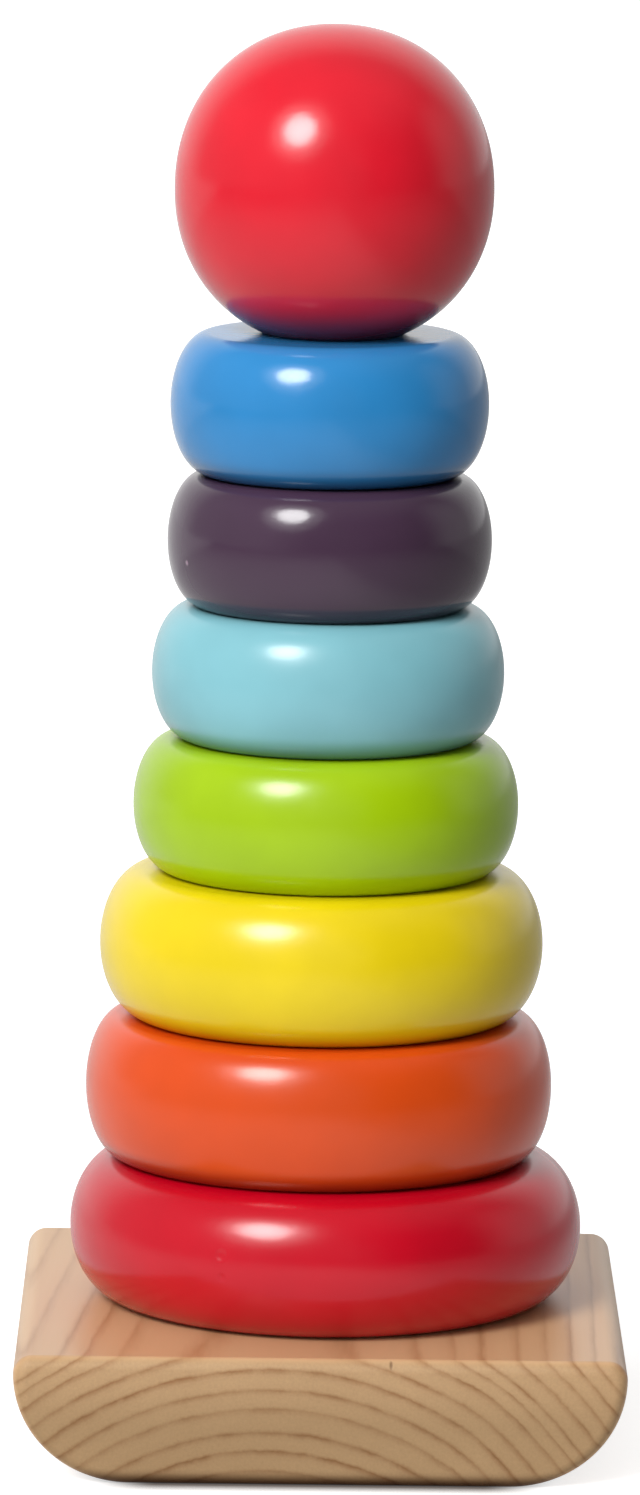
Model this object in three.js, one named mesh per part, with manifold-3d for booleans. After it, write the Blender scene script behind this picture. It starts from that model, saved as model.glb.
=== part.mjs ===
// Stacking tower: seven painted wooden rings and a ball on a post that stands in a wooden base.
// Millimetres, +Z up. The origin is the middle of the base's underside, and the front faces -Y.
import * as THREE from "three";
import { mergeVertices } from "three/addons/utils/BufferGeometryUtils.js";
import Module from "manifold-3d";

// Base: a board whose outline, seen from the front, runs through from front to back.
const BASE_WIDTH = 95;
const BASE_DEPTH = 98;
const BASE_THICKNESS = 20;
// Radius of the two upper corners.
const BASE_TOP_ROUND = 3;
// How far in the lower corners reach: they are quarter ellipses that rise to the upper ones.
const BASE_CORNER_RUN = 18;
// Radius of the eased edges of the front and back faces.
const BASE_FACE_EASE = 2;
// Wood left under the post's socket.
const SOCKET_FLOOR = 5;

// Post: a dowel glued into the socket.
const POST_DIAMETER = 14;
const POST_FOOT_CHAMFER = 1;
const POST_TIP_ROUND = 6;
const POST_INTO_BALL = 12;

// Rings from the top down: how much wider each is than the piece above it, its height,
// and how far its half-elliptic rim stands out past its flat faces.
const BLUE_STEP = 0;
const BLUE_HEIGHT = 22.25;
const BLUE_RIM = 6;
const PURPLE_STEP = 1;
const PURPLE_HEIGHT = 20.75;
const PURPLE_RIM = 5.25;
const SKY_STEP = 4.5;
const SKY_HEIGHT = 21;
const SKY_RIM = 5.75;
const GREEN_STEP = 5.25;
const GREEN_HEIGHT = 21;
const GREEN_RIM = 5.75;
const YELLOW_STEP = 9.25;
const YELLOW_HEIGHT = 23.25;
const YELLOW_RIM = 7;
const ORANGE_STEP = 3.75;
const ORANGE_HEIGHT = 22.25;
const ORANGE_RIM = 5.25;
const RED_STEP = 7.25;
const RED_HEIGHT = 22.75;
const RED_RIM = 8.25;
// Radius at both ends of each ring's bore.
const RING_BORE_ROUND = 1.25;

// Ball: turned nearly round, with a flat underside around the mouth of its blind bore.
const BALL_DIAMETER = 50;
// How far its crown rises over its widest turn, and how deep its lower half would reach without the flat.
const BALL_RISE = 25.75;
const BALL_DROP = 24.8;
// How full its shoulders are: 2 makes an ellipse, and more makes it squarer.
const BALL_FULLNESS = 2.1;
const BALL_MOUTH_ROUND = 1;
const BALL_LAND = 1;

// Clearances, each on the radius or on one face.
const GLUE_GAP = 0.15;
const SEAT_GAP = 0.05;
const RING_PLAY = 2;
const BALL_PLAY = 2;
const BALL_END_GAP = 12;

// From the base up. The lean is the share of the bore's play by which a piece rests to the right of the post.
const RINGS = [
  { name: "ring_red", colour: 0xd4202f, lean: 0.37, size: [RED_STEP, RED_HEIGHT, RED_RIM] },
  { name: "ring_orange", colour: 0xe75c20, lean: -0.3, size: [ORANGE_STEP, ORANGE_HEIGHT, ORANGE_RIM] },
  { name: "ring_yellow", colour: 0xf0d927, lean: -0.22, size: [YELLOW_STEP, YELLOW_HEIGHT, YELLOW_RIM] },
  { name: "ring_green", colour: 0xaacc23, lean: 0, size: [GREEN_STEP, GREEN_HEIGHT, GREEN_RIM] },
  { name: "ring_light_blue", colour: 0x96cbd5, lean: 0.05, size: [SKY_STEP, SKY_HEIGHT, SKY_RIM] },
  { name: "ring_purple", colour: 0x4c3d50, lean: 0.05, size: [PURPLE_STEP, PURPLE_HEIGHT, PURPLE_RIM] },
  { name: "ring_blue", colour: 0x4a9bcd, lean: -0.08, size: [BLUE_STEP, BLUE_HEIGHT, BLUE_RIM] },
];
const BALL_LEAN = 0.08;

// Finish.
const WOOD_COLOUR = 0xcdad86;
const BALL_COLOUR = 0xe8212d;
const WOOD_ROUGHNESS = 0.5;
const PAINT_ROUGHNESS = 0.25;

// Fineness of the turned and rounded shapes.
const TURN_STEPS = 40;
const RIM_STEPS = 10;
const BALL_LOW_STEPS = 6;
const BALL_TOP_STEPS = 8;
const ROUND_STEPS = 2;
const TIP_STEPS = 4;
const CORNER_STEPS = 8;
const EASE_STEPS = 3;
// How far a cutting solid stands out of the face it cuts.
const CUT_PAST = 1;

const QUARTER_TURN = Math.PI / 2;
const POST_RADIUS = POST_DIAMETER / 2;
const SOCKET_RADIUS = POST_RADIUS + GLUE_GAP;
const RING_BORE_RADIUS = POST_RADIUS + RING_PLAY;
const BALL_BORE_RADIUS = POST_RADIUS + BALL_PLAY;
const BALL_BORE_DEPTH = POST_INTO_BALL + BALL_END_GAP;
const BALL_FLAT_RADIUS = BALL_BORE_RADIUS + BALL_MOUTH_ROUND + BALL_LAND;

const wasm = await Module();
wasm.setup();

// Points of an elliptic arc about (x, y), from one angle to the other.
function arc(x, y, radiusX, radiusY, from, to, steps) {
  return new THREE.EllipseCurve(x, y, radiusX, radiusY, from, to).getPoints(steps);
}

// A solid turned about +Z from a profile of (radius, height) points that runs up its outside.
function turned(profile) {
  return new THREE.LatheGeometry(profile, TURN_STEPS).rotateX(QUARTER_TURN);
}

function solidOf(geometry) {
  const bare = geometry.clone();
  bare.deleteAttribute("normal");
  bare.deleteAttribute("uv");
  const merged = mergeVertices(bare);
  const vertProperties = merged.attributes.position.array;
  const triVerts = new Uint32Array(merged.index.array);
  return new wasm.Manifold(new wasm.Mesh({ numProp: 3, vertProperties, triVerts }));
}

function geometryOf(solid) {
  const mesh = solid.getMesh();
  const geometry = new THREE.BufferGeometry();
  geometry.setAttribute("position", new THREE.BufferAttribute(mesh.vertProperties, mesh.numProp));
  geometry.setIndex(new THREE.BufferAttribute(mesh.triVerts, 1));
  geometry.computeVertexNormals();
  return geometry;
}

// Half of the base's outline, up its right side from the underside to the top face.
function baseSide() {
  const widest = BASE_THICKNESS - BASE_TOP_ROUND;
  const foot = BASE_WIDTH / 2 - BASE_CORNER_RUN;
  const side = BASE_WIDTH / 2 - BASE_TOP_ROUND;
  return [
    ...arc(foot, widest, BASE_CORNER_RUN, widest, -QUARTER_TURN, 0, CORNER_STEPS),
    ...arc(side, widest, BASE_TOP_ROUND, BASE_TOP_ROUND, 0, QUARTER_TURN, TIP_STEPS).slice(1),
  ];
}

function baseGeometry() {
  const right = baseSide();
  const left = right.map((p) => new THREE.Vector2(-p.x, p.y)).reverse();
  const depth = BASE_DEPTH - 2 * BASE_FACE_EASE;
  const board = new THREE.ExtrudeGeometry(new THREE.Shape([...right, ...left]), {
    depth,
    bevelThickness: BASE_FACE_EASE,
    bevelSize: BASE_FACE_EASE,
    bevelOffset: -BASE_FACE_EASE,
    bevelSegments: EASE_STEPS,
  });
  board.translate(0, 0, -depth / 2).rotateX(QUARTER_TURN);
  const socket = turned([
    new THREE.Vector2(0, SOCKET_FLOOR),
    new THREE.Vector2(SOCKET_RADIUS, SOCKET_FLOOR),
    new THREE.Vector2(SOCKET_RADIUS, BASE_THICKNESS + CUT_PAST),
    new THREE.Vector2(0, BASE_THICKNESS + CUT_PAST),
  ]);
  return geometryOf(solidOf(board).subtract(solidOf(socket)));
}

function postGeometry(length) {
  const tip = POST_RADIUS - POST_TIP_ROUND;
  return turned([
    new THREE.Vector2(0, 0),
    new THREE.Vector2(POST_RADIUS - POST_FOOT_CHAMFER, 0),
    new THREE.Vector2(POST_RADIUS, POST_FOOT_CHAMFER),
    ...arc(tip, length - POST_TIP_ROUND, POST_TIP_ROUND, POST_TIP_ROUND, 0, QUARTER_TURN, TIP_STEPS),
    new THREE.Vector2(0, length),
  ]);
}

function ringGeometry(diameter, height, rim) {
  const flat = diameter / 2 - rim;
  const inner = RING_BORE_RADIUS + RING_BORE_ROUND;
  const high = height - RING_BORE_ROUND;
  const round = RING_BORE_ROUND;
  const profile = [
    ...arc(flat, height / 2, rim, height / 2, -QUARTER_TURN, QUARTER_TURN, RIM_STEPS),
    ...arc(inner, high, round, round, QUARTER_TURN, 2 * QUARTER_TURN, ROUND_STEPS),
    ...arc(inner, round, round, round, 2 * QUARTER_TURN, 3 * QUARTER_TURN, ROUND_STEPS),
  ];
  return turned([...profile, profile[0].clone()]);
}

// Points of the ball's side about its middle, from one angle to the other.
function ballSide(from, to, steps) {
  return arc(0, 0, 1, 1, from, to, steps).map(({ x, y }) => {
    const out = Math.abs(x) ** (2 / BALL_FULLNESS);
    const up = Math.sign(y) * Math.abs(y) ** (2 / BALL_FULLNESS);
    return new THREE.Vector2((out * BALL_DIAMETER) / 2, up * (y < 0 ? BALL_DROP : BALL_RISE));
  });
}

function ballGeometry() {
  const start = -Math.acos(((2 * BALL_FLAT_RADIUS) / BALL_DIAMETER) ** (BALL_FULLNESS / 2));
  const side = [
    ...ballSide(start, 0, BALL_LOW_STEPS),
    ...ballSide(0, QUARTER_TURN, BALL_TOP_STEPS).slice(1, -1),
    new THREE.Vector2(0, BALL_RISE),
  ];
  const middle = new THREE.Vector2(0, -side[0].y);
  const mouth = BALL_BORE_RADIUS + BALL_MOUTH_ROUND;
  const round = BALL_MOUTH_ROUND;
  return turned([
    new THREE.Vector2(0, BALL_BORE_DEPTH),
    new THREE.Vector2(BALL_BORE_RADIUS, BALL_BORE_DEPTH),
    ...arc(mouth, round, round, round, 2 * QUARTER_TURN, 3 * QUARTER_TURN, ROUND_STEPS),
    ...side.map((point) => point.add(middle)),
  ]);
}

const tower = new THREE.Group();
tower.name = "stacking_tower";

function place(name, geometry, color, roughness, x, z) {
  const material = new THREE.MeshStandardMaterial({ color, roughness, metalness: 0 });
  const mesh = new THREE.Mesh(geometry, material);
  mesh.name = name;
  mesh.position.set(x, 0, z);
  tower.add(mesh);
}

place("base", baseGeometry(), WOOD_COLOUR, WOOD_ROUGHNESS, 0, 0);

// The rings stack from the base's top face, each on the one below. The lowest has all the steps in its width.
let seat = BASE_THICKNESS + SEAT_GAP;
let diameter = RINGS.reduce((sum, { size: [step] }) => sum + step, BALL_DIAMETER);
for (const { name, colour, lean, size: [step, height, rim] } of RINGS) {
  place(name, ringGeometry(diameter, height, rim), colour, PAINT_ROUGHNESS, lean * RING_PLAY, seat);
  seat += height + SEAT_GAP;
  diameter -= step;
}
place("ball", ballGeometry(), BALL_COLOUR, PAINT_ROUGHNESS, BALL_LEAN * BALL_PLAY, seat);

// The post runs from the socket's floor through every ring into the ball.
const postFoot = SOCKET_FLOOR + GLUE_GAP;
const postLength = seat + POST_INTO_BALL - postFoot;
place("post", postGeometry(postLength), WOOD_COLOUR, WOOD_ROUGHNESS, 0, postFoot);

export default tower;
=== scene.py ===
"""Looks of the stacking tower: painted rings and a ball on a pine post and base, on a white floor."""
import math

import bmesh
import bpy
from mathutils import Matrix, Vector


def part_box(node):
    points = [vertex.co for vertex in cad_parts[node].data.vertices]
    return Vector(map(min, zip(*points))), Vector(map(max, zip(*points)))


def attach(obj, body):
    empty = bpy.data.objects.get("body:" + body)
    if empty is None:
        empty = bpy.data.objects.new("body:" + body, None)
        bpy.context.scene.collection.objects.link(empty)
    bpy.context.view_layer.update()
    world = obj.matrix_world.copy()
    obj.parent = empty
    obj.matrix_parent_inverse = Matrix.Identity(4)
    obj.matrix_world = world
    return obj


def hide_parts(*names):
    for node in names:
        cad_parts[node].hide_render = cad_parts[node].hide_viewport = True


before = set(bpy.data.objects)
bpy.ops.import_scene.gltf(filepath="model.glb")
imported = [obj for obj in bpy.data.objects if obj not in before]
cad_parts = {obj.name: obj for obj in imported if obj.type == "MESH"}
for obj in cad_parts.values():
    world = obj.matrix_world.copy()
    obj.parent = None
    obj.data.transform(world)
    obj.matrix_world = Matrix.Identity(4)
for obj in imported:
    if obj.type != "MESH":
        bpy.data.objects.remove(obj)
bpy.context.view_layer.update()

MM = 0.001
WHITE = (1, 1, 1, 1)

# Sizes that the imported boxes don't give, as in the part's source.
BASE_TOP_ROUND = 3 * MM
BASE_CORNER_RUN = 18 * MM
BASE_FACE_EASE = 2 * MM
SOCKET_RADIUS = 7.15 * MM
SOCKET_FLOOR = 5 * MM
POST_FOOT_CHAMFER = 1 * MM
POST_TIP_ROUND = 6 * MM
BORE_RADIUS = 9 * MM
RING_BORE_ROUND = 1.25 * MM
BALL_MOUTH_ROUND = 1 * MM
BALL_LAND = 1 * MM
BALL_RISE = 25.75 * MM
BALL_FULLNESS = 2.1
BALL_BORE_DEPTH = 24 * MM

# Fineness of the turned and rounded shapes.
TURN_STEPS = 144
RIM_STEPS = 48
BALL_STEPS = 64
ROUND_STEPS = 10
CORNER_STEPS = 32

# Edges over the sharp angle stay crisp, points within the least radius are on the axis of a turned
# piece, and a cutter goes past the face that it cuts.
SHARP_EDGE = math.radians(40)
LEAST_RADIUS = 1e-6
CUT_PAST = 2 * MM

# Painted rings: body, slot, rim depth, written colour (sRGB), roughness, share of painted shade at the
# lower face.
RINGS = {
    "ring_red": ("red", "red_paint", 8.25 * MM, (197, 2, 31), 0.22, 0.15),
    "ring_orange": ("orange", "orange_paint", 5.25 * MM, (222, 76, 14), 0.23, 1.0),
    "ring_yellow": ("yellow", "yellow_paint", 7 * MM, (239, 211, 10), 0.23, 0.4),
    "ring_green": ("green", "green_paint", 5.75 * MM, (165, 203, 0), 0.23, 0.1),
    "ring_light_blue": ("light_blue", "light_blue_paint", 5.75 * MM, (132, 194, 205), 0.23, 0.75),
    "ring_purple": ("purple", "purple_paint", 5.25 * MM, (71, 49, 70), 0.15, 0.6),
    "ring_blue": ("blue", "blue_paint", 6 * MM, (46, 138, 203), 0.15, 0.9),
}
# Painted shade at a ring's lower face, where it sits on what is below: how far up it reaches and its
# colour.
RING_SHADE_REACH = 4.2 * MM
RING_SHADE_TINT = (0.3, 0.26, 0.28, 1)
BALL_COLOUR = (230, 26, 46)
BALL_ROUGHNESS = 0.18
# Painted shade at the ball's foot, tinted to paint in a reflection of the blue ring: its reach, colour and
# share.
BALL_SHADE_REACH = 7 * MM
BALL_SHADE_AND_REFLECTION_TINT = (0.15, 0.9, 1, 1)
BALL_SHADE_SHARE = 0.9

# Small marks in the paint: place and size in millimetres, depth in bumps of the paint and any tint.
MARKS = {
    "ring_red": [((-15.59, -36.86, 33.84), 1.3, 7.5, None),
                 ((-15.6, -37.2, 30.3), 0.9, 4.0, None)],
    "ring_purple": [((-22.2, -12.11, 138.68), 0.6, -2.0, (170, 140, 160))],
}
MARK_CORE = 0.2
MARK_TINT_SHARE = 0.7

# Noises of the paint: scale per millimetre, detail and, where it isn't the usual half, roughness.
CLOUD_NOISE = (0.045, 3)
GRAIN_NOISE = (0.9, 4)
PEEL_NOISE = (0.55, 2)
CHIP_NOISE = (0.9, 4, 0.6)
SCUFF_NOISE = (0.12, 5, 0.65)

# Paint: what the noises do to it. Heights are in bumps, and margins in millimetres.
PAINT_IOR = 1.54
PAINT_BUMP = 0.02 * MM
CLOUD_SPAN = (0.3, 0.7)
CLOUD_GAINS = (0.94, 1.05)
GRAIN_STRETCH = (0.05, 1.0, 1.0)
GRAIN_HEIGHT = 0.35
PEEL_HEIGHT = 0.5
BARE_WOOD = (214, 178, 132)
BARE_WOOD_GAINS = (0.7, 1.1)
CHIP_OUTER_MARGIN = 0.6
CHIP_INNER_MARGIN = 0.3
CHIP_TOP_MARGIN = 1
CHIP_SPAN = (0.54, 0.6)
CHIP_ROUGHNESS = 0.35
CHIP_DEPTH = 2.0
SCUFF_SPAN = (0.45, 0.75)
SCUFF_ROUGHNESS = 0.04

# Trunk of each piece of pine: its axis (1 is y, 2 is z), where the pith lies across it and how that
# drifts along it, the radii of the dark late-wood lines and the place of a nick, in millimetres.
BOARD_ALONG = 1
BOARD_PITH = (-5.55, -39.37)
BOARD_DRIFT = (0.05, -0.028)
BOARD_GROWTH = (
    37, 40.4, 43.5, 46.4, 50.1, 53.1, 56.4, 59.4, 62.6, 64.8, 66.6, 69.5, 72.2, 74.8, 77.3, 79.8, 82.2,
)
BOARD_NICK = (10.9, -48.4, 19.2)
POST_ALONG = 2
POST_PITH = (22, 26)
POST_DRIFT = (0.01, 0.0)
POST_GROWTH = (24, 26.2, 28.1, 30.5, 32.6, 35, 37, 39.4, 41.3, 43.6, 46)
POST_NICK = (4.9, -4.9, 120)

# Growth lines: waves are scale, detail and swing; late wood is place in the year's growth and level.
GROWTH_SQUEEZE = 0.12
GROWTH_WAVES = ((0.05, 1, 1.2), (0.35, 2, 0.44), (1.3, 2, 0.34))
FLARE_SPAN = (0.62, 1.2, 0.0, 1.5)
LATE_WOOD_LEVELS = ((0.09, 0.4), (0.17, 0.08), (0.5, 0.02), (0.75, 0.16), (0.9, 0.6))
YEAR_LEAST = 0.65
YEAR_CHANCE = 0.35
FAINT_NOISE = (0.22, 3)
FAINT_SPAN = (0.3, 0.7, 0.5, 1.15)
LINE_SHARE = 0.68
LINE_END_SHARE = 0.17

# Pine: colours (sRGB), tints that multiply or overlay them, and the spans in which they show.
PINE_IOR = 1.36
PINE_BUMP = 0.012 * MM
EARLY_WOOD = (214, 175, 132)
LATE_WOOD = (163, 113, 70)
LATE_WOOD_HEIGHT = 0.6
END_SPAN = (0.35, 0.85)
# End grain darker from the lacquer it soaks up, and darker still towards the bottom as painted shade.
SOAKED_AND_SHADED_SPAN = (20, 8, 0.5, 1.0)
SOAKED_AND_SHADED_TINT = (0.58, 0.58, 0.54, 1)
# Painted shade on the base's lower rounding, where it faces the floor.
FOOT_SHADE_SPAN = (2.8, 0.4, 0.0, 0.88)
FOOT_SHADE_TINT = (0.2, 0.13, 0.09, 1)
SHADE_NOISE = (0.06, 3)
SHADE_SHARE = 0.4
SHADE_TINTS = ((0.38, 0.36, 0.33, 1), (0.62, 0.63, 0.65, 1))
FIBRE_SQUEEZE = 0.02
FIBRE_NOISE = (2.2, 4, 0.6)
FIBRE_LEVELS = (0.25, 0.75)
FIBRE_SHARES = (0.07, 0.28)
FIBRE_HEIGHTS = (0.4, 1.0)
NICK_STRETCH = (2.4, 1, 0.6)
NICK_SPAN = (0.9, 0.2)
NICK_COLOUR = (88, 56, 36)
NICK_SHARE = 0.6
NICK_DEPTH = 6.0
PINE_ROUGHNESS = 0.26
FIBRE_ROUGHNESS = 0.1
END_ROUGHNESS = 0.25

# Camera, fitted to the photograph.
CAMERA_DISTANCE = 1572.6 * MM
CAMERA_TARGET_HEIGHT = 107.82 * MM
CAMERA_PITCH = math.radians(9.236)
CAMERA_ROLL = math.radians(0.71)
CAMERA_YAW = math.radians(-0.287)
CAMERA_SIDE = -1.035 * MM
CAMERA_LENS = 240.24
CAMERA_SENSOR = 36
CAMERA_CLIP_START = 0.05
CAMERA_CLIP_END = 100

# Suns: a hot and a wide one from the upper left, and a soft fill that no gloss mirrors.
KEY_FROM = Vector((-0.415, -0.644, 0.643))
KEY_STRENGTH = 2.0
KEY_ANGLE = math.radians(22)
GLOW_STRENGTH = 0.4
GLOW_ANGLE = math.radians(42)
FILL_FROM = Vector((-0.12, -0.96, 0.24))
FILL_STRENGTH = 0.92
FILL_ANGLE = math.radians(60)

# World: for each side, the part of the direction over which its level changes, and its two levels
# where they aren't 0 and 1.
SKY_BEHIND = (0.1, 0.8, 0.0, 0.93)
SKY_BEHIND_RIGHT = (0.8, 0.3, 0.92, 1.0)
SKY_LEFT = (-0.2, -0.9, 0.0, 0.36)
SKY_ABOVE = (0.45, 0.95, 0.0, 0.25)
SKY_RIGHT = (0.6, 0.95, 0.0, 0.5)
SKY_RIGHT_BEHIND = (-0.35, 0.1)
SKY_LEAST = (-0.95, -0.5, 0.05, 0.07)

# Floor: half its side in metres, its pale and dull grey, the lift that the camera sees on dull and pale.
FLOOR_HALF = 15
FLOOR_PALE = 0.62
FLOOR_DULL = 0.15
FLOOR_LIFT = (0.95, 0.75)

# Where the floor is pale, in metres: its reach, and the spans behind the tower and to its right.
FLOOR_REACH = 1.1
FLOOR_BEHIND = (0.0, 0.5)
FLOOR_RIGHT = (0.22, 0.04)

# Sheen of the floor that gloss mirrors, which is less near the tower: distances in metres and levels.
FLOOR_SHEEN = 0.28
SHEEN_NEAR = (0.06, 0.22)
SHEEN_LEVELS = (0.55, 1.0)

# Contact shadow along the base's flat foot, which fades out under its rounded corners.
CONTACT_REACH = 7 * MM
CONTACT_ENDS = (37 * MM, 25 * MM)
CONTACT_SPAN = (0.94, 0.4, 0.0, 0.92)
CONTACT_COLOUR = (0.12, 0.08, 0.06, 1)
CONTACT_SAMPLES = 16

# A Mix node lists its sockets once for each type of data. These are the ones for colours.
MIX_FACTOR = 0
MIX_FROM = 6
MIX_TO = 7
MIX_RESULT = 2


def linear(colour):
    """Scene colour of an sRGB one, by the standard curve."""
    def channel(value):
        value /= 255
        return value / 12.92 if value <= 0.04045 else ((value + 0.055) / 1.055) ** 2.4
    return (*map(channel, colour), 1)


def tinted(colour, gain):
    return (*(min(1, channel * gain) for channel in colour[:3]), 1)


def grey(level):
    return (level, level, level, 1)


def arc(x, z, radius_x, radius_z, start, end, steps):
    """Points of an elliptic arc about (x, z), from one angle to the other, in degrees."""
    angles = (math.radians(start + (end - start) * i / steps) for i in range(steps + 1))
    return [(x + radius_x * math.cos(a), z + radius_z * math.sin(a)) for a in angles]


def piece_from(name, bm):
    """A smooth-shaded object of a bmesh, with its sharp edges kept crisp."""
    bmesh.ops.recalc_face_normals(bm, faces=bm.faces[:])
    for face in bm.faces:
        face.smooth = True
    for edge in bm.edges:
        edge.smooth = edge.calc_face_angle(0) < SHARP_EDGE
    mesh = bpy.data.meshes.new(name)
    bm.to_mesh(mesh)
    bm.free()
    piece = bpy.data.objects.new(name, mesh)
    bpy.context.scene.collection.objects.link(piece)
    return piece


def turned(name, profile, x, closed=False):
    """A piece turned about the upright axis at x from (radius, height) points up its outside."""
    bm = bmesh.new()
    rows = []
    for radius, height in profile:
        count = TURN_STEPS if radius > LEAST_RADIUS else 1
        turns = (2 * math.pi * i / TURN_STEPS for i in range(count))
        rows.append([bm.verts.new((x + radius * math.cos(t), radius * math.sin(t), height)) for t in turns])
    for low, high in zip(rows, rows[1:] + (rows[:1] if closed else [])):
        for i in range(TURN_STEPS):
            j = (i + 1) % TURN_STEPS
            corners = [low[i % len(low)], low[j % len(low)], high[j % len(high)], high[i % len(high)]]
            bm.faces.new(dict.fromkeys(corners))
    return piece_from(name, bm)


def ring(node, rim):
    """A ring with an elliptic rim and rounded mouths to its bore."""
    low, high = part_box(node)
    outer = (high.x - low.x) / 2
    inner = BORE_RADIUS + RING_BORE_ROUND
    middle, half = (low.z + high.z) / 2, (high.z - low.z) / 2
    profile = [
        *arc(outer - rim, middle, rim, half, -90, 90, RIM_STEPS),
        *arc(inner, high.z - RING_BORE_ROUND, RING_BORE_ROUND, RING_BORE_ROUND, 90, 180, ROUND_STEPS),
        *arc(inner, low.z + RING_BORE_ROUND, RING_BORE_ROUND, RING_BORE_ROUND, 180, 270, ROUND_STEPS),
    ]
    return turned(node + "_turned", profile, (low.x + high.x) / 2, closed=True)


def ball():
    """The ball, a little fuller than round, with a flat foot and a blind bore."""
    low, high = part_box("ball")
    outer = (high.x - low.x) / 2
    mouth = BORE_RADIUS + BALL_MOUTH_ROUND
    flat = mouth + BALL_LAND
    middle = high.z - BALL_RISE
    cut = (1 - (flat / outer) ** BALL_FULLNESS) ** (1 / BALL_FULLNESS)
    drop = (middle - low.z) / cut
    start = -math.degrees(math.acos((flat / outer) ** (BALL_FULLNESS / 2)))
    top = low.z + BALL_BORE_DEPTH

    def fuller(value):
        return math.copysign(abs(value) ** (2 / BALL_FULLNESS), value)
    turn = arc(0, 0, 1, 1, start, 90, BALL_STEPS)
    side = [(outer * fuller(x), middle + fuller(z) * (drop if z < 0 else BALL_RISE)) for x, z in turn]
    profile = [
        (0, top),
        (BORE_RADIUS, top),
        *arc(mouth, low.z + BALL_MOUTH_ROUND, BALL_MOUTH_ROUND, BALL_MOUTH_ROUND, 180, 270, ROUND_STEPS),
        *side[:-1],
        (0, high.z),
    ]
    return turned("ball_turned", profile, (low.x + high.x) / 2)


def post():
    """The dowel, with a chamfered foot and a rounded tip."""
    low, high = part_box("post")
    outer = (high.x - low.x) / 2
    core, shoulder = outer - POST_TIP_ROUND, high.z - POST_TIP_ROUND
    profile = [
        (0, low.z),
        (outer - POST_FOOT_CHAMFER, low.z),
        (outer, low.z + POST_FOOT_CHAMFER),
        *arc(core, shoulder, POST_TIP_ROUND, POST_TIP_ROUND, 0, 90, ROUND_STEPS),
        (0, high.z),
    ]
    return turned("post_dowel", profile, (low.x + high.x) / 2)


def board_outline(low, high, inset):
    """The base's outline seen from the front, drawn in by the inset."""
    widest = high.z - BASE_TOP_ROUND
    foot, side = high.x - BASE_CORNER_RUN, high.x - BASE_TOP_ROUND
    corner = BASE_TOP_ROUND - inset
    right = arc(foot, widest, BASE_CORNER_RUN - inset, widest - low.z - inset, -90, 0, CORNER_STEPS)
    right += arc(side, widest, corner, corner, 0, 90, ROUND_STEPS)[1:]
    return right + [(-x, z) for x, z in reversed(right)]


def cut_away(piece, cutter):
    """Takes the cutter's shape out of the piece, and removes the cutter."""
    cut = piece.modifiers.new("socket", "BOOLEAN")
    cut.object = cutter
    cut.operation = "DIFFERENCE"
    graph = bpy.context.evaluated_depsgraph_get()
    mesh = bpy.data.meshes.new_from_object(piece.evaluated_get(graph))
    piece.modifiers.clear()
    piece.data = mesh
    bpy.data.objects.remove(cutter)


def board():
    """The base, eased at its front and back faces, with the post's blind socket."""
    low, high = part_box("base")
    bm = bmesh.new()
    eases = [math.pi / 2 * i / ROUND_STEPS for i in range(ROUND_STEPS + 1)]
    stations = [(BASE_FACE_EASE * (1 - math.sin(a)), BASE_FACE_EASE * (1 - math.cos(a))) for a in eases]
    places = [(inset, low.y + run) for inset, run in stations]
    places += [(inset, high.y - run) for inset, run in reversed(stations)]
    loops = [[bm.verts.new((x, y, z)) for x, z in board_outline(low, high, inset)] for inset, y in places]
    for near, far in zip(loops, loops[1:]):
        for i in range(len(near)):
            bm.faces.new((near[i - 1], near[i], far[i], far[i - 1]))
    bm.faces.new(loops[0])
    bm.faces.new(loops[-1])
    piece = piece_from("base_board", bm)
    rim = high.z + CUT_PAST
    socket = [(0, SOCKET_FLOOR), (SOCKET_RADIUS, SOCKET_FLOOR), (SOCKET_RADIUS, rim), (0, rim)]
    cut_away(piece, turned("socket_cutter", socket, 0))
    normals = piece.modifiers.new("even_flats", "WEIGHTED_NORMAL")
    normals.keep_sharp = True
    return piece


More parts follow.
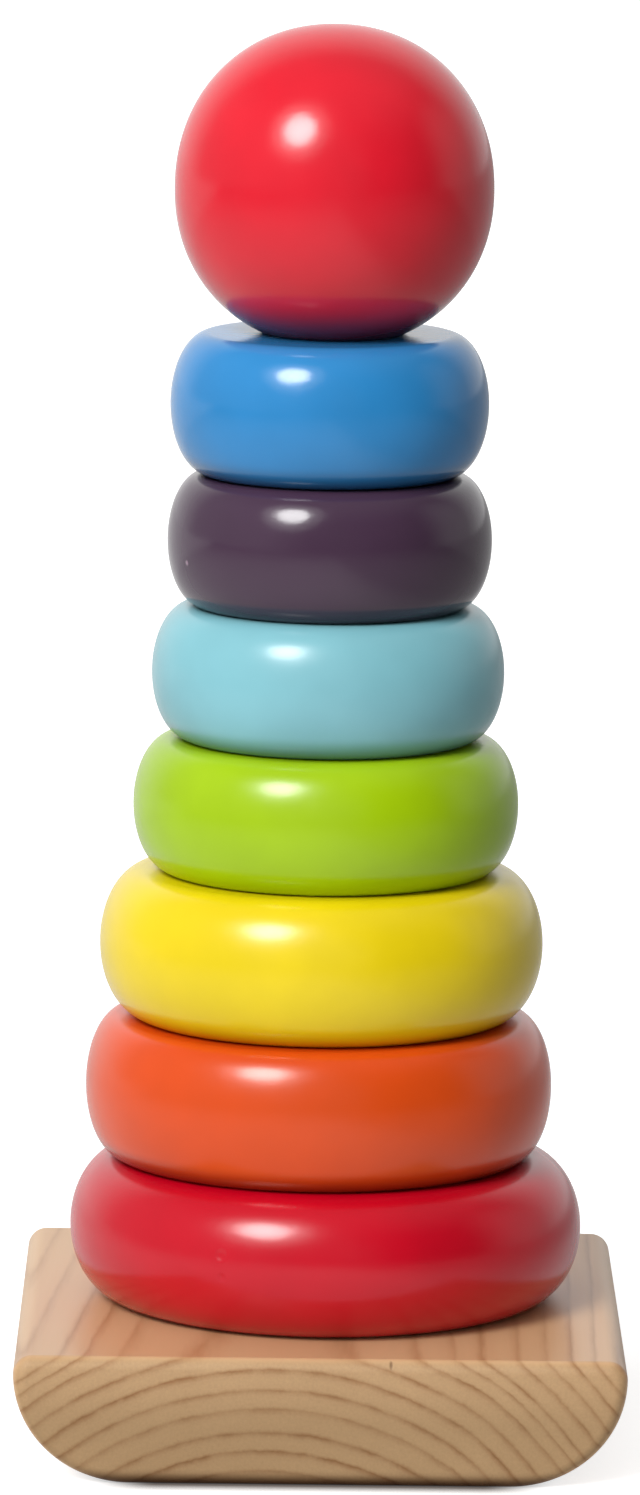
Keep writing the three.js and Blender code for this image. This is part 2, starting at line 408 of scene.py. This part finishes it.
class Shader:
    """Adds and joins the nodes of one material or of the world."""

    def __init__(self, owner):
        owner.use_nodes = True
        self.tree = owner.node_tree
        self.tree.nodes.clear()

    def node(self, kind, inputs=None, **settings):
        made = self.tree.nodes.new("ShaderNode" + kind)
        for name, value in settings.items():
            setattr(made, name, value)
        for name, value in (inputs or {}).items():
            self.put(made.inputs[name], value)
        return made

    def put(self, socket, value):
        if isinstance(value, bpy.types.NodeSocket):
            self.tree.links.new(value, socket)
        else:
            socket.default_value = value

    def math(self, operation, a, b=0.0, c=0.0):
        return self.node("Math", {0: a, 1: b, 2: c}, operation=operation).outputs[0]

    def vector(self, operation, a, b):
        return self.node("VectorMath", {0: a, 1: b}, operation=operation).outputs["Vector"]

    def length(self, vector):
        return self.node("VectorMath", {0: vector}, operation="LENGTH").outputs["Value"]

    def split(self, vector):
        return self.node("SeparateXYZ", {0: vector}).outputs

    def noise(self, place, scale, detail, roughness=0.5):
        inputs = {"Vector": place, "Scale": scale, "Detail": detail, "Roughness": roughness}
        return self.node("TexNoise", inputs).outputs[0]

    def span(self, value, low, high, to_low=0.0, to_high=1.0):
        """Goes smoothly from one level to the other while the value goes from low to high."""
        inputs = {"Value": value, "From Min": low, "From Max": high, "To Min": to_low, "To Max": to_high}
        return self.node("MapRange", inputs, interpolation_type="SMOOTHSTEP").outputs["Result"]

    def mix(self, factor, a, b, blend="MIX"):
        inputs = {MIX_FACTOR: factor, MIX_FROM: a, MIX_TO: b}
        return self.node("Mix", inputs, data_type="RGBA", blend_type=blend).outputs[MIX_RESULT]

    def millimetres(self):
        """The surface point in its own piece, in millimetres."""
        coordinates = self.node("TexCoord").outputs["Object"]
        return self.vector("MULTIPLY", coordinates, (1 / MM, 1 / MM, 1 / MM))

    def coat(self, tone, roughness, ior, height, bump):
        """Ends a material of wood: its tone under a coat, with a height in bumps."""
        relief = self.node("Bump", {"Height": height, "Strength": 1.0, "Distance": bump})
        normal = relief.outputs["Normal"]
        inputs = {"Base Color": tone, "Roughness": roughness, "IOR": ior, "Normal": normal}
        self.end(self.node("BsdfPrincipled", inputs), "OutputMaterial")

    def end(self, surface, output):
        """Joins a finished shader to the output."""
        self.tree.links.new(surface.outputs[0], self.node(output).inputs["Surface"])


def lacquer(name, colour, roughness, axis_x, bore_top, lower_shade, marks=()):
    """Gloss paint over turned wood, thin and chipped at the bore.

    The lower shade is the height of the lower face, how far up the painted shade reaches, its colour and
    its share.
    Each mark is a place, a size, a depth and a tint.
    """
    material = bpy.data.materials.new(name)
    s = Shader(material)
    place = s.millimetres()
    up = s.split(place)[2]
    written, bare = linear(colour), linear(BARE_WOOD)
    cloud = s.span(s.noise(place, *CLOUD_NOISE), *CLOUD_SPAN)
    tone = s.mix(cloud, *(tinted(written, gain) for gain in CLOUD_GAINS))
    grain = s.noise(s.vector("MULTIPLY", place, GRAIN_STRETCH), *GRAIN_NOISE)
    peel = s.noise(place, *PEEL_NOISE)

    from_axis = s.vector("MULTIPLY", s.vector("SUBTRACT", place, (axis_x / MM, 0, 0)), (1, 1, 0))
    bore, mouth = BORE_RADIUS / MM, (BORE_RADIUS + RING_BORE_ROUND) / MM
    by_bore = s.span(s.length(from_axis), mouth + CHIP_OUTER_MARGIN, bore + CHIP_INNER_MARGIN)
    by_bore = s.math("MULTIPLY", by_bore, s.span(up, bore_top / MM + CHIP_TOP_MARGIN, bore_top / MM))
    chips = s.span(s.noise(place, *CHIP_NOISE), *CHIP_SPAN)
    worn = s.math("MULTIPLY", by_bore, chips)
    fibres = s.mix(grain, *(tinted(bare, gain) for gain in BARE_WOOD_GAINS))
    foot, reach, lower_shade_colour, share = lower_shade
    # Painted shade: darker towards the lower face, where the piece sits on what is below.
    painted_shade = s.span(up, (foot + reach) / MM, foot / MM, 0.0, share)
    shown = s.mix(worn, s.mix(painted_shade, tone, lower_shade_colour, blend="MULTIPLY"), fibres)

    scuff = s.span(s.noise(place, *SCUFF_NOISE), *SCUFF_SPAN)
    rough = s.math("MULTIPLY_ADD", scuff, SCUFF_ROUGHNESS, roughness)
    rough = s.math("MULTIPLY_ADD", worn, CHIP_ROUGHNESS, rough)
    height = s.math("MULTIPLY_ADD", grain, GRAIN_HEIGHT, s.math("MULTIPLY", peel, PEEL_HEIGHT))
    height = s.math("SUBTRACT", height, s.math("MULTIPLY", worn, CHIP_DEPTH))
    for spot, size, depth, tint in marks:
        near = s.span(s.length(s.vector("SUBTRACT", place, spot)), size, MARK_CORE * size)
        height = s.math("MULTIPLY_ADD", near, -depth, height)
        if tint:
            shown = s.mix(s.math("MULTIPLY", near, MARK_TINT_SHARE), shown, linear(tint))
    s.coat(shown, rough, PAINT_IOR, height, PAINT_BUMP)
    return material


def squeezed(along, share):
    """Factors for a place that draw a pattern out along one axis."""
    return tuple(share if axis == along else 1 for axis in range(3))


def growth_count(s, radius, growth):
    """How many growth lines lie inside a radius, with the part of the next year's growth."""
    reach = growth[-1] - growth[0]
    curve = s.node("FloatCurve", {"Value": s.math("DIVIDE", s.math("SUBTRACT", radius, growth[0]), reach)})
    line = curve.mapping.curves[0]
    for i, r in enumerate(growth[1:-1], 1):
        line.points.new((r - growth[0]) / reach, i / (len(growth) - 1))
    for point in line.points:
        point.handle_type = "VECTOR"
    curve.mapping.update()
    return s.math("MULTIPLY", curve.outputs[0], len(growth) - 1.0)


def late_wood_level(s, count):
    """How dark the late wood is at a count of growth lines, each line with its own strength."""
    ramp = s.node("ValToRGB", {"Fac": s.math("FRACT", count)})
    stops = ramp.color_ramp.elements
    for stop, position in zip(stops, (0, 1)):
        stop.position = position
        stop.color = WHITE
    for position, level in LATE_WOOD_LEVELS:
        stops.new(position).color = grey(level)
    own = s.node("TexWhiteNoise", {"W": s.math("ROUND", count)}, noise_dimensions="1D").outputs["Value"]
    return s.math("MULTIPLY", ramp.outputs["Color"], s.math("MULTIPLY_ADD", own, YEAR_CHANCE, YEAR_LEAST))


def pine(name, along, pith, drift, growth, nick):
    """Clear-lacquered pine, sawn from a trunk that ran along the given axis."""
    material = bpy.data.materials.new(name)
    s = Shader(material)
    place = s.millimetres()
    split = s.split(place)
    facing = s.split(s.node("TexCoord").outputs["Normal"])
    end = s.span(s.math("ABSOLUTE", facing[along]), *END_SPAN)
    across, length, up = split[0], split[along], split[3 - along]
    side = s.math("SUBTRACT", s.math("MULTIPLY_ADD", length, -drift[0], across), pith[0])
    rise = s.math("SUBTRACT", s.math("MULTIPLY_ADD", length, -drift[1], up), pith[1])
    radius = s.math("SQRT", s.math("ADD", s.math("MULTIPLY", side, side), s.math("MULTIPLY", rise, rise)))
    drawn = s.vector("MULTIPLY", place, squeezed(along, GROWTH_SQUEEZE))
    for scale, detail, swing in GROWTH_WAVES:
        wave = s.math("MULTIPLY_ADD", s.noise(drawn, scale, detail), swing, -swing / 2)
        radius = s.math("ADD", radius, wave)
    radius = s.math("ADD", radius, s.span(s.math("DIVIDE", side, rise), *FLARE_SPAN))
    late_wood = late_wood_level(s, growth_count(s, radius, growth))
    late_wood = s.math("MULTIPLY", late_wood, s.span(s.noise(drawn, *FAINT_NOISE), *FAINT_SPAN))

    shown = s.math("MULTIPLY", late_wood, s.math("MULTIPLY_ADD", end, LINE_END_SHARE, LINE_SHARE))
    tone = s.mix(shown, linear(EARLY_WOOD), linear(LATE_WOOD))
    # End grain darker from soaked lacquer, plus painted shade that grows towards the bottom.
    soaked_and_shaded = s.math("MULTIPLY", end, s.span(split[2], *SOAKED_AND_SHADED_SPAN))
    tone = s.mix(soaked_and_shaded, tone, SOAKED_AND_SHADED_TINT, blend="MULTIPLY")
    # Painted shade on the lower rounding near the floor.
    tone = s.mix(s.span(split[2], *FOOT_SHADE_SPAN), tone, FOOT_SHADE_TINT, blend="MULTIPLY")
    shade = s.mix(s.noise(drawn, *SHADE_NOISE), *SHADE_TINTS)
    tone = s.mix(SHADE_SHARE, tone, shade, blend="OVERLAY")
    fibre = s.noise(s.vector("MULTIPLY", place, squeezed(along, FIBRE_SQUEEZE)), *FIBRE_NOISE)
    streak = s.mix(fibre, *(grey(level) for level in FIBRE_LEVELS))
    tone = s.mix(s.span(end, 0, 1, *FIBRE_SHARES), tone, streak, blend="OVERLAY")
    away = s.vector("MULTIPLY", s.vector("SUBTRACT", place, nick), NICK_STRETCH)
    dent = s.span(s.length(away), *NICK_SPAN)
    tone = s.mix(s.math("MULTIPLY", dent, NICK_SHARE), tone, linear(NICK_COLOUR))

    rough = s.math("MULTIPLY_ADD", fibre, FIBRE_ROUGHNESS, PINE_ROUGHNESS)
    rough = s.math("MULTIPLY_ADD", end, END_ROUGHNESS, rough)
    height = s.math("MULTIPLY", fibre, s.span(end, 0, 1, *FIBRE_HEIGHTS))
    height = s.math("MULTIPLY_ADD", late_wood, LATE_WOOD_HEIGHT, height)
    height = s.math("MULTIPLY_ADD", dent, -NICK_DEPTH, height)
    s.coat(tone, rough, PINE_IOR, height, PINE_BUMP)
    return material


def dress(piece, node, body, material):
    """Gives a piece its material and its place in the frame."""
    piece.data.materials.clear()
    piece.data.materials.append(material)
    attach(piece, body)
    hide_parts(node)


def stand():
    """The base and the post in it."""
    board_pine = pine("pine_board", BOARD_ALONG, BOARD_PITH, BOARD_DRIFT, BOARD_GROWTH, BOARD_NICK)
    post_pine = pine("pine_dowel", POST_ALONG, POST_PITH, POST_DRIFT, POST_GROWTH, POST_NICK)
    dress(board(), "base", "stand", board_pine)
    dress(post(), "post", "stand", post_pine)


def stack():
    """The rings from the largest up, and the ball. A ring's bore has no top, so chips reach all of it."""
    for node, (body, slot, rim, colour, roughness, shade_share) in RINGS.items():
        low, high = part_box(node)
        # Painted shade at the ring's lower face.
        lower_shade = (low.z, RING_SHADE_REACH, RING_SHADE_TINT, shade_share)
        middle = (low.x + high.x) / 2
        paint = lacquer(slot, colour, roughness, middle, high.z + CUT_PAST, lower_shade, MARKS.get(node, ()))
        dress(ring(node, rim), node, body, paint)
    low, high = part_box("ball")
    # Painted shade and a painted reflection of the blue ring at the ball's foot.
    lower_shade = (low.z, BALL_SHADE_REACH, BALL_SHADE_AND_REFLECTION_TINT, BALL_SHADE_SHARE)
    middle = (low.x + high.x) / 2
    paint = lacquer("ball_paint", BALL_COLOUR, BALL_ROUGHNESS, middle, low.z + BALL_BORE_DEPTH, lower_shade)
    dress(ball(), "ball", "ball", paint)


def floor():
    """A white floor that keeps a faint shadow and a dark line where the base touches it."""
    bm = bmesh.new()
    corners = ((-1, -1), (1, -1), (1, 1), (-1, 1))
    bm.faces.new([bm.verts.new((x * FLOOR_HALF, y * FLOOR_HALF, 0)) for x, y in corners])
    plane = piece_from("studio_floor", bm)
    material = bpy.data.materials.new("floor_white")
    s = Shader(material)
    path = s.node("LightPath").outputs
    position = s.node("NewGeometry").outputs["Position"]
    spot = s.split(position)
    spread = s.length(s.vector("MULTIPLY", position, (1 / FLOOR_REACH, 1 / FLOOR_REACH, 0)))
    ahead = s.math("DIVIDE", 1.0, s.math("MULTIPLY_ADD", spread, spread, 1.0))
    ahead = s.math("MAXIMUM", ahead, s.span(spot[1], *FLOOR_BEHIND))
    pale = s.math("MULTIPLY", ahead, s.span(spot[0], *FLOOR_RIGHT))
    mirrored = s.math("MAXIMUM", path["Is Glossy Ray"], path["Is Transmission Ray"])
    near = s.span(spread, *(distance / FLOOR_REACH for distance in SHEEN_NEAR), *SHEEN_LEVELS)
    sheen = s.math("MULTIPLY", mirrored, s.math("MULTIPLY", s.math("MULTIPLY", ahead, near), FLOOR_SHEEN))
    strength = s.math("MULTIPLY_ADD", path["Is Camera Ray"], s.span(pale, 0, 1, *FLOOR_LIFT), sheen)

    occlusion = s.node("AmbientOcclusion", {"Distance": CONTACT_REACH}, samples=CONTACT_SAMPLES)
    under = s.span(occlusion.outputs["AO"], *CONTACT_SPAN)
    under = s.math("MULTIPLY", under, s.span(s.math("ABSOLUTE", spot[0]), *CONTACT_ENDS))
    clear = s.math("SUBTRACT", 1.0, under)
    lift = s.node("Emission", {"Color": WHITE, "Strength": s.math("MULTIPLY", strength, clear)})
    tone = s.mix(pale, grey(FLOOR_DULL), grey(FLOOR_PALE))
    ground = s.node("BsdfDiffuse", {"Color": s.mix(clear, CONTACT_COLOUR, tone)})
    s.end(s.node("AddShader", {0: ground.outputs[0], 1: lift.outputs[0]}), "OutputMaterial")
    plane.data.materials.append(material)


def sun(name, toward, strength, angle):
    lamp = bpy.data.lights.new(name, "SUN")
    lamp.energy = strength
    lamp.angle = angle
    lit = bpy.data.objects.new(name, lamp)
    lit.rotation_euler = toward.to_track_quat("Z", "Y").to_euler()
    bpy.context.scene.collection.objects.link(lit)
    return lit


def light():
    """The suns, and a world whose level changes with the direction."""
    sun("key_light", KEY_FROM, KEY_STRENGTH, KEY_ANGLE)
    sun("key_glow", KEY_FROM, GLOW_STRENGTH, GLOW_ANGLE)
    fill = sun("fill_light", FILL_FROM, FILL_STRENGTH, FILL_ANGLE)
    fill.visible_glossy = False
    world = bpy.data.worlds.new("studio")
    bpy.context.scene.world = world
    s = Shader(world)
    toward = s.split(s.node("TexCoord").outputs["Generated"])
    behind = s.math("MULTIPLY", s.span(toward[1], *SKY_BEHIND), s.span(toward[0], *SKY_BEHIND_RIGHT))
    left = s.span(toward[0], *SKY_LEFT)
    above = s.span(toward[2], *SKY_ABOVE)
    right = s.math("MULTIPLY", s.span(toward[0], *SKY_RIGHT), s.span(toward[1], *SKY_RIGHT_BEHIND))
    mirrored = s.math("MULTIPLY", right, s.node("LightPath").outputs["Is Glossy Ray"])
    level = s.math("MAXIMUM", s.math("MAXIMUM", behind, left), s.math("MAXIMUM", above, mirrored))
    level = s.math("ADD", level, s.span(toward[1], *SKY_LEAST))
    s.end(s.node("Background", {"Color": WHITE, "Strength": level}), "OutputWorld")


def camera():
    data = bpy.data.cameras.new("camera")
    data.sensor_width = CAMERA_SENSOR
    data.lens = CAMERA_LENS
    data.clip_start = CAMERA_CLIP_START
    data.clip_end = CAMERA_CLIP_END
    eye = bpy.data.objects.new("camera", data)
    place = Vector((
        CAMERA_SIDE,
        -CAMERA_DISTANCE * math.cos(CAMERA_PITCH),
        CAMERA_TARGET_HEIGHT + CAMERA_DISTANCE * math.sin(CAMERA_PITCH),
    ))
    eye.matrix_world = (
        Matrix.Rotation(CAMERA_YAW, 4, "Z")
        @ Matrix.Translation(place)
        @ Matrix.Rotation(math.pi / 2 - CAMERA_PITCH, 4, "X")
        @ Matrix.Rotation(CAMERA_ROLL, 4, "Z")
    )
    bpy.context.scene.collection.objects.link(eye)
    bpy.context.scene.camera = eye


stand()
stack()
floor()
light()
camera()
bpy.context.scene.view_settings.view_transform = "Standard"
